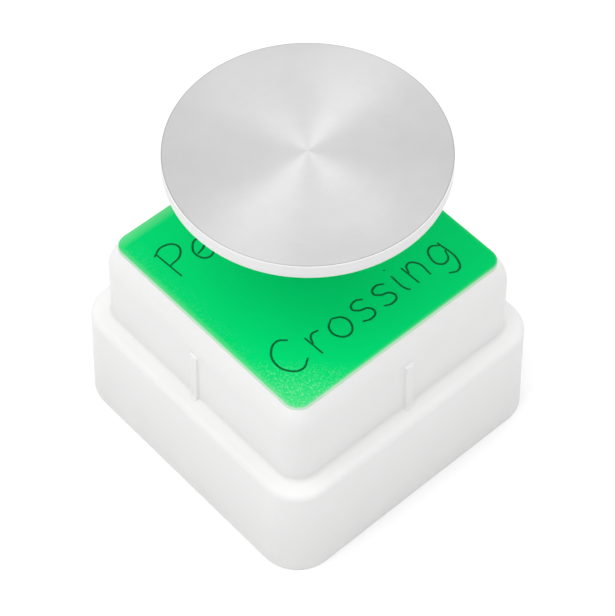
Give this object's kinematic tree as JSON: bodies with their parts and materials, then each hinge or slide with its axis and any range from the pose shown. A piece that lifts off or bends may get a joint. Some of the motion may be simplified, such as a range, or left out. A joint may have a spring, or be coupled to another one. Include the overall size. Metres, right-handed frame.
{
  "type": "pedestrian push button",
  "caption": "Surface-mounted pedestrian push button: white two-tier square housing, lit green legend lens, and a round sprung palm knob with a spun metal face.",
  "frame": {"origin": "centre of the square back face that lies on the wall", "axes": "+Z out of the wall along the push axis, +X the reading direction of the legend, +Y its upper side"},
  "size_m": [0.086, 0.086, 0.096],
  "materials": {
    "white_shell": "moulded, semi-gloss",
    "white_knob": "moulded, semi-gloss",
    "grey_plate": "fine moulded grain",
    "green_lens": "translucent tinted acrylic, lit from behind",
    "spun_metal": "spun, circular brushed",
    "bright_steel": "bright zinc or stainless",
    "brass": "machined",
    "black_rubber": "matt",
    "opal_plastic": "opal",
    "black_plastic": "matt",
    "board_green": "solder mask",
    "led_white": "clear dome over phosphor",
    "red_plastic": "moulded",
    "red_wire": "insulated",
    "blue_wire": "insulated"
  },
  "bodies": {
    "base": {"housing": "white_shell", "back_plate": "grey_plate", "wall_gasket": "black_rubber", "cable_grommet": "black_rubber", "plate_inserts": "brass", "cover_screws": "bright_steel", "legend_lens": "green_lens", "lens_gasket": "black_rubber", "diffuser": "opal_plastic", "led_board": "board_green", "leds": "led_white", "board_resistors": "black_plastic", "board_connector": "opal_plastic", "board_screws": "bright_steel", "guide_bush": "brass", "bush_nut": "brass", "bush_o_ring": "black_rubber", "wiper_seal": "black_rubber", "sealing_washer": "black_rubber", "lens_nut": "bright_steel", "bump_ring": "black_rubber", "return_spring": "bright_steel", "bracket": "bright_steel", "bracket_screws": "bright_steel", "switch_body": "black_plastic", "switch_screws": "bright_steel", "switch_terminals": "brass", "terminal_block": "opal_plastic", "terminal_clamps": "brass", "terminal_screws": "bright_steel", "lamp_leads": "red_wire", "switch_leads": "blue_wire"},
    "knob": {"knob_body": "white_knob", "face_plate": "spun_metal", "knob_screw": "bright_steel", "stem": "bright_steel", "retaining_clip": "bright_steel", "spring_collar": "bright_steel"},
    "lever": {"switch_lever": "bright_steel"},
    "plunger": {"switch_plunger": "red_plastic"}
  },
  "joints": [
    {"name": "knob_push", "type": "slide", "parent": "base", "child": "knob", "axis": [0, 0, -1], "range_m": [0, 0.004], "stiffness_N_per_m": 1500, "springref_m": -0.003, "deforming": ["return_spring"]},
    {"name": "lever_swing", "type": "hinge", "parent": "base", "child": "lever", "pos_m": [0.0255, 0, 0.0197], "axis": [0, -1, 0], "range_deg": [0, 8.6]},
    {"name": "plunger_travel", "type": "slide", "parent": "base", "child": "plunger", "axis": [0, 0, -1], "range_m": [0, 0.001]}
  ],
  "couplings": [
    {"joint": "lever_swing", "follows": "knob_push", "rad_per_m": 36.5},
    {"joint": "plunger_travel", "follows": "knob_push", "ratio": 0.225}
  ]
}
